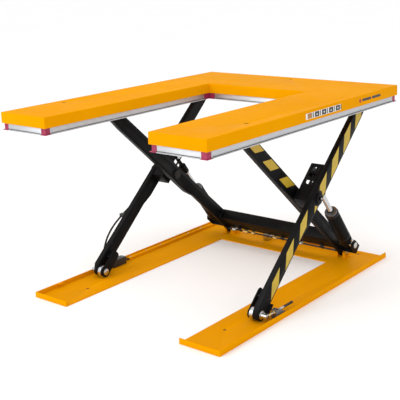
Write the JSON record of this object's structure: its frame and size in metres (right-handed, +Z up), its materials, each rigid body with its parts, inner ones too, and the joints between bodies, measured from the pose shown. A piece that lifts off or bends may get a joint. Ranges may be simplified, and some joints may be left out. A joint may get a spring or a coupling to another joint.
{
  "type": "scissor lift table",
  "caption": "U-shaped low-profile hydraulic scissor lift table at full height, with crossed arms, two cylinders, rollers and a safety edge under the deck.",
  "frame": {"origin": "on the floor, under the centre of the deck's outline", "axes": "+X to the right seen from the open end of the U, +Y to the closed end, +Z up"},
  "size_m": [1.14, 1.45, 0.87],
  "materials": {
    "deck_paint": "semi-gloss powder coat",
    "arm_paint": "semi-gloss black paint",
    "steel": "turned steel",
    "chrome": "hard chrome",
    "bronze": "plain bearing bronze",
    "brass": "bright",
    "aluminium": "anodised",
    "corner_plastic": "moulded",
    "black_plastic": "moulded",
    "grey_paint": "satin",
    "hazard_film": "adhesive film",
    "label_film": "adhesive film",
    "label_print": "printed film"
  },
  "bodies": {
    "base": {"base_frame": "deck_paint", "base_lugs": "deck_paint", "bottom_pivot_pins": "steel", "line_covers": "deck_paint", "limit_switch": "black_plastic", "travel_stop_block": "grey_paint", "travel_stop_screw": "steel", "travel_stop_nuts": "brass", "swivel_body": "steel", "supply_pipe": "steel", "supply_coupling": "steel"},
    "switch_lever": {"switch_lever": "steel"},
    "inner_frame": {"inner_arm_left": "arm_paint", "inner_arm_right": "arm_paint", "bottom_bushes": "bronze", "cross_beam": "arm_paint", "centre_pins": "arm_paint", "centre_caps": "arm_paint", "cylinder_clevises": "arm_paint", "cylinder_base_pins": "steel", "feed_line": "steel", "bleed_line": "black_plastic", "swivel_stem": "steel", "top_axles": "steel"},
    "top_roller_left": {"top_roller_left": "steel"},
    "top_roller_right": {"top_roller_right": "steel"},
    "bottom_roller_left": {"bottom_roller_left": "steel"},
    "bottom_roller_right": {"bottom_roller_right": "steel"},
    "outer_frame_left": {"outer_arm_left": "arm_paint", "outer_bushes_left": "bronze", "bottom_axle_left": "steel", "rod_bracket_left": "arm_paint", "conduit": "black_plastic", "conduit_fittings": "black_plastic"},
    "outer_frame_right": {"outer_arm_right": "arm_paint", "outer_bushes_right": "bronze", "bottom_axle_right": "steel", "rod_bracket_right": "arm_paint"},
    "platform": {"deck": "deck_paint", "top_lugs": "arm_paint", "top_pins": "steel", "roller_guides": "arm_paint", "edge_hangers": "arm_paint"},
    "safety_edge": {"edge_corners": "corner_plastic", "edge_guide_pins": "steel", "edge_rail_rear": "aluminium", "edge_rail_slot_end": "aluminium", "edge_rails_front": "aluminium", "edge_rails_inner": "aluminium", "edge_rails_outer": "aluminium"},
    "cylinder_left": {"barrel_left": "arm_paint", "gland_left": "steel"},
    "cylinder_right": {"barrel_right": "arm_paint", "gland_right": "steel"},
    "ram_left": {"rod_left": "chrome", "rod_end_left": "arm_paint", "rod_pin_left": "steel"},
    "ram_right": {"rod_right": "chrome", "rod_end_right": "arm_paint", "rod_pin_right": "steel"}
  },
  "joints": [
    {"name": "lift", "type": "hinge", "parent": "base", "child": "inner_frame", "pos_m": [0, 0.587, 0.0353], "axis": [1, 0, 0], "range_deg": [0, 41.25]},
    {"name": "scissor_right", "type": "hinge", "parent": "inner_frame", "child": "outer_frame_right", "pos_m": [0.474, 0.1422, 0.435], "axis": [-1, 0, 0], "range_deg": [0, 82.51]},
    {"name": "scissor_left", "type": "hinge", "parent": "inner_frame", "child": "outer_frame_left", "pos_m": [-0.474, 0.1422, 0.435], "axis": [-1, 0, 0], "range_deg": [0, 82.51]},
    {"name": "deck_level", "type": "hinge", "parent": "outer_frame_right", "child": "platform", "pos_m": [0.474, 0.587, 0.8347], "axis": [1, 0, 0], "range_deg": [0, 41.25]},
    {"name": "cylinder_swing_right", "type": "hinge", "parent": "inner_frame", "child": "cylinder_right", "pos_m": [0.414, 0.52987, 0.0974], "axis": [1, 0, 0], "range_deg": [0, 10.92]},
    {"name": "cylinder_swing_left", "type": "hinge", "parent": "inner_frame", "child": "cylinder_left", "pos_m": [-0.414, 0.52987, 0.0974], "axis": [1, 0, 0], "range_deg": [0, 10.92]},
    {"name": "ram_stroke_right", "type": "slide", "parent": "cylinder_right", "child": "ram_right", "axis": [0, 0.6067, -0.7949], "range_m": [0, 0.1058]},
    {"name": "ram_stroke_left", "type": "slide", "parent": "cylinder_left", "child": "ram_left", "axis": [0, 0.6067, -0.7949], "range_m": [0, 0.1058]},
    {"name": "top_roller_spin_right", "type": "hinge", "parent": "inner_frame", "child": "top_roller_right", "pos_m": [0.382, -0.30259, 0.8347], "axis": [1, 0, 0], "continuous": true},
    {"name": "top_roller_spin_left", "type": "hinge", "parent": "inner_frame", "child": "top_roller_left", "pos_m": [-0.382, -0.30259, 0.8347], "axis": [1, 0, 0], "continuous": true},
    {"name": "bottom_roller_spin_right", "type": "hinge", "parent": "outer_frame_right", "child": "bottom_roller_right", "pos_m": [0.45, -0.30259, 0.0353], "axis": [1, 0, 0], "continuous": true},
    {"name": "bottom_roller_spin_left", "type": "hinge", "parent": "outer_frame_left", "child": "bottom_roller_left", "pos_m": [-0.45, -0.30259, 0.0353], "axis": [1, 0, 0], "continuous": true},
    {"name": "edge_press", "type": "slide", "parent": "platform", "child": "safety_edge", "axis": [0, 0, 1], "range_m": [0, 0.005], "stiffness_N_per_m": 4000, "springref_m": -0.01},
    {"name": "switch_press", "type": "hinge", "parent": "base", "child": "switch_lever", "pos_m": [-0.51, -0.178, 0.033], "axis": [1, 0, 0], "range_deg": [0, 6], "stiffness_Nm_per_rad": 0.3, "springref_deg": -5.73}
  ],
  "couplings": [
    {"joint": "scissor_right", "follows": "lift", "ratio": 2},
    {"joint": "scissor_left", "follows": "lift", "ratio": 2},
    {"joint": "deck_level", "follows": "lift", "ratio": 1},
    {"joint": "cylinder_swing_right", "follows": "lift", "ratio": 0.26459},
    {"joint": "cylinder_swing_left", "follows": "lift", "ratio": 0.26459},
    {"joint": "ram_stroke_right", "follows": "lift", "m_per_rad": 0.14688},
    {"joint": "ram_stroke_left", "follows": "lift", "m_per_rad": 0.14688}
  ]
}
